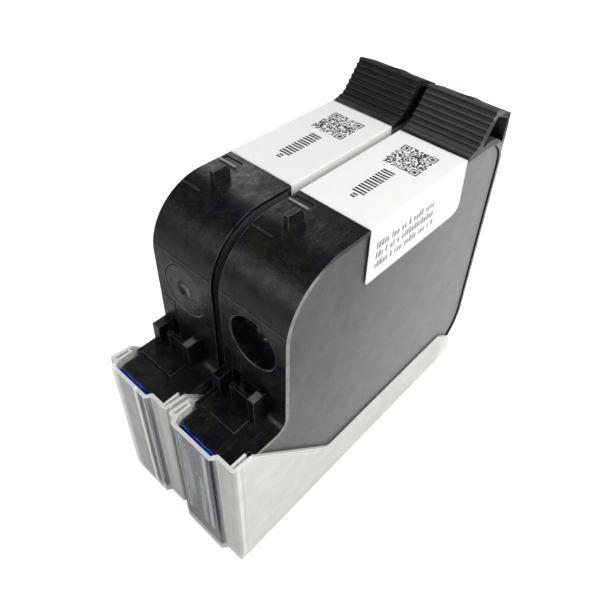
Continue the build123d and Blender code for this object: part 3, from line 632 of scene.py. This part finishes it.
for twin in ("side_cover", "bag_film", "pressure_plate"):
    CAD_FINISH[twin + "_b"] = CAD_FINISH[twin + "_a"]

ROUNDED = {"frame": 0.22, "side_cover_a": 0.12, "side_cover_b": 0.12, "cap": 0.12, "port_plug": 0.12}


def soften(node, width):
    """Welds the faces of a CAD node together and rounds its sharp edges."""
    weld = node.modifiers.new("weld", "WELD")
    weld.merge_threshold = 0.002 * MM
    bevel = node.modifiers.new("soft_edges", "BEVEL")
    bevel.width = width * MM
    bevel.segments = 2
    bevel.limit_method = "ANGLE"
    bevel.angle_limit = radians(38)
    bevel.use_clamp_overlap = True
    bevel.miter_outer = "MITER_ARC"
    normals = node.modifiers.new("even_normals", "WEIGHTED_NORMAL")
    normals.keep_sharp = True


for side in SIDES:
    for part, material in CAD_FINISH.items():
        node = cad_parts[f"{side}_{part}"]
        if node.name == "right_port_plug":
            material = INKED
        node.data.materials.clear()
        node.data.materials.append(material)
        if part in ROUNDED:
            soften(node, ROUNDED[part])


# ------------------------------------------------------------------ new pieces

def make_piece(name, body, material, bm):
    """Turns a bmesh, in millimetres, into a piece. The body is None for a piece that is attached to no body."""
    mesh = bpy.data.meshes.new(name)
    bmesh.ops.transform(bm, matrix=Matrix.Scale(MM, 4), verts=bm.verts)
    bmesh.ops.recalc_face_normals(bm, faces=bm.faces)
    bm.to_mesh(mesh)
    bm.free()
    for face in mesh.polygons:
        face.use_smooth = True
    piece = bpy.data.objects.new(name, mesh)
    bpy.context.scene.collection.objects.link(piece)
    mesh.materials.append(material)
    if body:
        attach(piece, body)
    return piece


def add_grid(bm, rows):
    """Quads over a grid of points, given as rows of equal length."""
    verts = [[bm.verts.new(p) for p in row] for row in rows]
    for a, b in zip(verts, verts[1:]):
        for i in range(len(a) - 1):
            bm.faces.new((a[i], a[i + 1], b[i + 1], b[i]))


def thicken(piece, thickness, offset):
    solid = piece.modifiers.new("thickness", "SOLIDIFY")
    solid.thickness = thickness * MM
    solid.offset = offset
    solid.use_even_offset = True


def label_profile(x0, x1, low, top):
    """Points (x, z) from one flap's foot, over the top, to the other flap's foot."""
    r = PAPER_FOLD_R
    steps = 5
    flap = [low + (top - r - low) * i / 24 for i in range(25)]
    points = [(x0, z) for z in flap]
    points += [(x0 + r - r * cos(a), top - r + r * sin(a)) for a in arc_angles(steps)]
    points += [(x0 + r + (x1 - x0 - 2 * r) * i / 16, top) for i in range(17)]
    points += [(x1 - r + r * sin(a), top - r + r * cos(a)) for a in arc_angles(steps)]
    points += [(x1, z) for z in reversed(flap)]
    return points


def arc_angles(steps):
    return [pi / 2 * i / steps for i in range(1, steps)]


def make_label(side):
    """Wrap label: one sheet folded over both top edges, flaps with a rounded rear corner."""
    low, high = millimetre_box(f"{side}_label")
    rear = high.y - FLAP_SLANT
    rows = []
    for x, z in label_profile(low.x, high.x, low.z, high.z):
        down = (high.z - z) / (high.z - low.z)
        end = rear + FLAP_SLANT * down
        above = z - low.z
        if above < PAPER_CORNER_R:
            gap = PAPER_CORNER_R - above
            end -= PAPER_CORNER_R - (PAPER_CORNER_R**2 - gap**2) ** 0.5
        start = low.y + (0.5 - (0.25 - (0.5 - above) ** 2) ** 0.5 if above < 0.5 else 0.0)
        row = []
        for i in range(49):
            t = i / 48
            y = start + (end - start) * t
            ripple = 0.02 * noise.noise(Vector((x * 0.25, y * 0.22, z * 0.25)))
            row.append(Vector((x + (ripple if abs(x - high.x) < 0.01 else 0.0), y, z + ripple * (1 - down))))
        rows.append(row)
    bm = bmesh.new()
    add_grid(bm, rows)
    piece = make_piece(f"{side}_wrap_label", f"{side}_cartridge", PAPER_FINISH[side], bm)
    thicken(piece, PAPER * 0.8, -1.0)
    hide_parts(f"{side}_label")
    return low, high


def add_block(bm, low, high):
    """A closed box between two corners."""
    size = high - low
    placed = Matrix.Translation((low + high) / 2) @ Matrix.Diagonal((*size, 1.0))
    bmesh.ops.create_cube(bm, size=1.0, matrix=placed)


def code_modules(rng):
    """Dark modules (column, row) of a made-up matrix pattern with three ringed corners."""
    n = CODE_MODULES
    corners = ((0, n - 7), (n - 7, n - 7), (n - 7, 0))
    dark = set()
    for column in range(n):
        for row in range(n):
            ringed = False
            for cx, cy in corners:
                u, v = column - cx, row - cy
                if -1 <= u <= 7 and -1 <= v <= 7:
                    ringed = True
                    ring = max(abs(u - 3), abs(v - 3))
                    if ring <= 1 or ring == 3:
                        dark.add((column, row))
            if not ringed and rng.random() < 0.5:
                dark.add((column, row))
    return dark


def make_top_print(side, low, high):
    """Matrix pattern and a row of plain bars on the label's top."""
    rng = random.Random(SEED + SIDES.index(side))
    middle = (low.x + high.x) / 2
    z0 = high.z - 0.01
    z1 = high.z + INK_THICK + 0.02
    bm = bmesh.new()
    module = CODE_SIDE / CODE_MODULES
    x0 = middle + 0.25 - CODE_SIDE / 2
    y0 = high.y - FLAP_SLANT - 4.5 - CODE_SIDE
    for column, row in sorted(code_modules(rng)):
        a = Vector((x0 + column * module, y0 + row * module, z0))
        add_block(bm, a, a + Vector((module * 0.94, module * 0.94, z1 - z0)))
    for index in range(BAR_COUNT):
        y = low.y + 6.0 + index * BAR_STEP
        half = BAR_HEIGHT / (5 if index == 0 else 2)
        for shift in (0.0, BAR_STEP * 0.45):
            a = Vector((middle - 0.3 - half, y + shift, z0))
            add_block(bm, a, a + Vector((2 * half, BAR_STROKE, z1 - z0)))
    make_piece(f"{side}_label_print", f"{side}_cartridge", TOP_INK, bm)


def make_flap_print(side, low, high):
    """Three rows of short plain bars on the outer flap."""
    rng = random.Random(SEED * 3 + SIDES.index(side))
    bm = bmesh.new()
    for row in range(3):
        y = low.y + 2.6
        z = high.z - 5.8 - 2.65 * row
        while y < high.y - 12.0 - 1.0 * (row % 2):
            width = rng.uniform(0.35, 0.8)
            tall = rng.choice((1.25, 1.25, 1.7))
            a = Vector((high.x - 0.01, y, z - 0.6))
            add_block(bm, a, Vector((high.x + INK_THICK + 0.02, y + width, z - 0.6 + tall)))
            y += width + rng.choice((0.3, 0.3, 0.35, 1.0))
    make_piece(f"{side}_flap_print", f"{side}_cartridge", FLAP_INK, bm)


TOP_INK = label_ink("print_black", (0.040, 0.040, 0.042), 0.4)
FLAP_INK = label_ink("print_grey", (0.24, 0.24, 0.245), 0.9)


def make_tape(side):
    """Seal tape: over the snout's end, looped forward and down as a narrower pull tab, with creases."""
    low, high = millimetre_box(f"{side}_nozzle_tape")
    loop_r = (high.y - low.y) / 2 - TAPE_THICK
    near = high.y - TAPE_THICK
    far = low.y + TAPE_THICK
    middle = (near + far) / 2
    turn = high.z - loop_r - TAPE_THICK
    drop = turn - low.z
    path = [(near, low.z + drop * i / 40) for i in range(41)]
    for i in range(1, 20):
        angle = pi * i / 20
        fold = 0.55 * exp(-((angle - 1.75) / 0.32) ** 2)
        path.append((middle + loop_r * cos(angle), turn + loop_r * sin(angle) - fold))
    path += [(far, turn - (drop - TAB_SHORT) * i / 40) for i in range(41)]
    rows = []
    for y, z in path:
        on_tab = y < middle
        below = turn - z
        trim = TAB_TRIM[side] * min(1.0, max(0.0, below / 1.2)) if on_tab else 0.0
        row = []
        for i in range(31):
            x = low.x + (high.x - trim - low.x) * i / 30
            wave = abs(noise.noise(Vector((x * 0.42, z * 0.10, 5.0 * on_tab))))
            crease = TAPE_CREASE * wave * min(1.0, max(0.3, below / 6.0))
            crease *= min(1.0, max(0.1, (high.x - TAB_TRIM[side] - x) / 1.5)) if on_tab else 0.2
            lift = 0.25 * noise.noise(Vector((x * 0.35, 3.0, 0.0))) if z > turn else 0.0
            row.append(Vector((x, y + (crease if on_tab else -crease), z + lift)))
        rows.append(row)
    bm = bmesh.new()
    add_grid(bm, rows)
    piece = make_piece(f"{side}_seal_tape", f"{side}_cartridge", TAPE_FINISH[side], bm)
    thicken(piece, TAPE_THICK, 0.0)
    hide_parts(f"{side}_nozzle_tape")


def sheet_outline(name):
    """Outline (y, z) of a flat CAD sheet, its points about a millimetre apart, and its middle."""
    low, high = millimetre_box(name)
    middle = (low + high) / 2
    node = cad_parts[name]
    spots = {}
    for vert in node.data.vertices:
        place = node.matrix_world @ vert.co / MM
        spots[(round(place.y, 3), round(place.z, 3))] = Vector((place.y, place.z))
    centre = Vector((middle.y, middle.z))
    corners = sorted(spots.values(), key=lambda p: atan2(p.y - centre.y, p.x - centre.x))
    points = []
    for a, b in zip(corners, corners[1:] + corners[:1]):
        steps = max(1, round((b - a).length / 1.1))
        points += [a.lerp(b, i / steps) for i in range(steps)]
    return points, centre


def make_bag_film(side, letter):
    """Ink bag film: staked flat at its rim, slack and crinkled round the plate, crowned over it."""
    name = f"{side}_bag_film_{letter}"
    low, high = millimetre_box(name)
    way = 1 if letter == "b" else -1
    rim_x = (low.x if way > 0 else high.x) + way * 0.05
    outline, centre = sheet_outline(name)
    depths = [FILM_STAKE * i / 2 for i in range(2)]
    depths += [FILM_STAKE + FILM_SLACK * i / 14 for i in range(15)]
    rows = []
    for depth in depths + [None] * 14:
        inner = len(rows) - len(depths) + 1
        row = []
        for point in outline + outline[:1]:
            arm = point - centre
            share = 1 - (depths[-1] if depth is None else depth) / arm.length
            if depth is None:
                share *= 1 - inner / 14
            spot = centre + arm * share
            away = arm.length * (1 - share)
            rise = min(1.0, max(0.0, (away - FILM_STAKE) / FILM_SLACK))
            rise = rise * rise * (3 - 2 * rise)
            slack = 4 * rise * (1 - rise)
            crinkle = abs(noise.noise(Vector((spot.x * 0.22, spot.y * 0.22, 4.0 + way))))
            lift = FILM_CROWN * rise + 0.10 * crinkle * slack + 0.04 * crinkle * rise
            row.append(Vector((rim_x + way * lift, spot.x, spot.y)))
        rows.append(row)
    bm = bmesh.new()
    add_grid(bm, rows)
    bmesh.ops.remove_doubles(bm, verts=bm.verts, dist=0.001)
    piece = make_piece(f"{side}_ink_bag_film_{letter}", None, CAD_FINISH["bag_film_a"], bm)
    thicken(piece, FILM_THICK, 0.0)
    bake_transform(piece)
    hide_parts(name)


def make_bow_spring(side):
    """Two bowed leaves, narrower at their joined ends, between the plates."""
    name = f"{side}_bow_spring"
    low, high = millimetre_box(name)
    middle = (low + high) / 2
    bow, reach, tall = (high - low) / 2
    rows = []
    for i in range(97):
        angle = 2 * pi * i / 96
        half = tall * (1 - 0.35 * abs(sin(angle)) ** 3)
        outer = Vector((bow * cos(angle), reach * sin(angle), 0))
        inner = Vector(((bow - LEAF) * cos(angle), (reach - LEAF) * sin(angle), 0))
        up = Vector((0, 0, half))
        rows.append([middle + p for p in (outer - up, outer + up, inner + up, inner - up, outer - up)])
    bm = bmesh.new()
    add_grid(bm, rows)
    bmesh.ops.remove_doubles(bm, verts=bm.verts, dist=0.001)
    finish = CAD_FINISH["bow_spring"]
    piece = make_piece(f"{side}_leaf_spring", f"{side}_cartridge", finish, bm)
    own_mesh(piece)
    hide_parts(name)


for side in SIDES:
    make_bow_spring(side)
    for letter in "ab":
        make_bag_film(side, letter)
    paper_low, paper_high = make_label(side)
    make_top_print(side, paper_low, paper_high)
    make_flap_print(side, paper_low, paper_high)
    make_tape(side)


# ----------------------------------------------------- floor, light and camera

def make_floor():
    bm = bmesh.new()
    bmesh.ops.create_grid(bm, x_segments=2, y_segments=2, size=4.0)
    mesh = bpy.data.meshes.new("floor")
    bm.to_mesh(mesh)
    bm.free()
    floor = bpy.data.objects.new("floor", mesh)
    floor.location.z = -0.00005
    mesh.materials.append(floor_material())
    bpy.context.scene.collection.objects.link(floor)


def make_world(strength, mirrored):
    """Even pale surroundings, white behind the object; the second strength is what glossy surfaces mirror."""
    world = bpy.data.worlds.new("studio")
    world.use_nodes = True
    tree = world.node_tree
    background = tree.nodes["Background"]
    background.inputs["Color"].default_value = (1.0, 1.0, 0.995, 1.0)
    rays = tree.nodes.new("ShaderNodeLightPath")
    level = strength
    for ray, value in (("Is Glossy Ray", mirrored), ("Is Camera Ray", 1.2)):
        choice = tree.nodes.new("ShaderNodeMix")
        tree.links.new(rays.outputs[ray], choice.inputs["Factor"])
        if isinstance(level, float):
            choice.inputs["A"].default_value = level
        else:
            tree.links.new(level, choice.inputs["A"])
        choice.inputs["B"].default_value = value
        level = choice.outputs["Result"]
    tree.links.new(level, background.inputs["Strength"])
    bpy.context.scene.world = world


def make_softbox(name, place, target, size, power):
    light = bpy.data.lights.new(name, "AREA")
    light.shape = "RECTANGLE"
    light.size, light.size_y = size
    light.energy = power
    softbox = bpy.data.objects.new(name, light)
    softbox.location = place
    softbox.rotation_mode = "QUATERNION"
    softbox.rotation_quaternion = (Vector(target) - Vector(place)).to_track_quat("-Z", "Y")
    bpy.context.scene.collection.objects.link(softbox)


def make_camera():
    """Close view from the front right and above, rolled a little, with an off-centre crop."""
    azimuth, elevation, roll = radians(40.148), radians(40.355), radians(2.786)
    place = Vector((0.07167, -0.08366, 0.15199))
    back = Vector((sin(azimuth) * cos(elevation), -cos(azimuth) * cos(elevation), sin(elevation)))
    right = (-back).cross(Vector((0, 0, 1))).normalized()
    up = back.cross(right)
    tilted_right = cos(roll) * right + sin(roll) * up
    tilted_up = back.cross(tilted_right)
    camera = bpy.data.objects.new("camera", bpy.data.cameras.new("camera"))
    turned = Matrix((tilted_right, tilted_up, back)).transposed().to_4x4()
    camera.matrix_world = Matrix.Translation(place) @ turned
    camera.data.sensor_width = 36.0
    camera.data.lens = 36.653
    camera.data.shift_x = -0.0301
    camera.data.shift_y = -0.0932
    camera.data.clip_start = 0.001
    bpy.context.scene.collection.objects.link(camera)
    bpy.context.scene.camera = camera


make_floor()
make_world(0.70, 0.07)
make_softbox("key_right", (0.22, 0.05, 0.26), (0.0, 0.0, 0.04), (0.22, 0.22), 1.0)
make_softbox("strip_rear_left", (-0.50, 0.36, 0.42), (0.0, 0.0, 0.06), (0.16, 0.30), 0.55)
make_softbox("fill_front", (-0.25, -0.55, 0.35), (0.0, 0.0, 0.04), (0.3, 0.3), 0.8)
make_camera()
bpy.context.scene.view_settings.view_transform = "Standard"
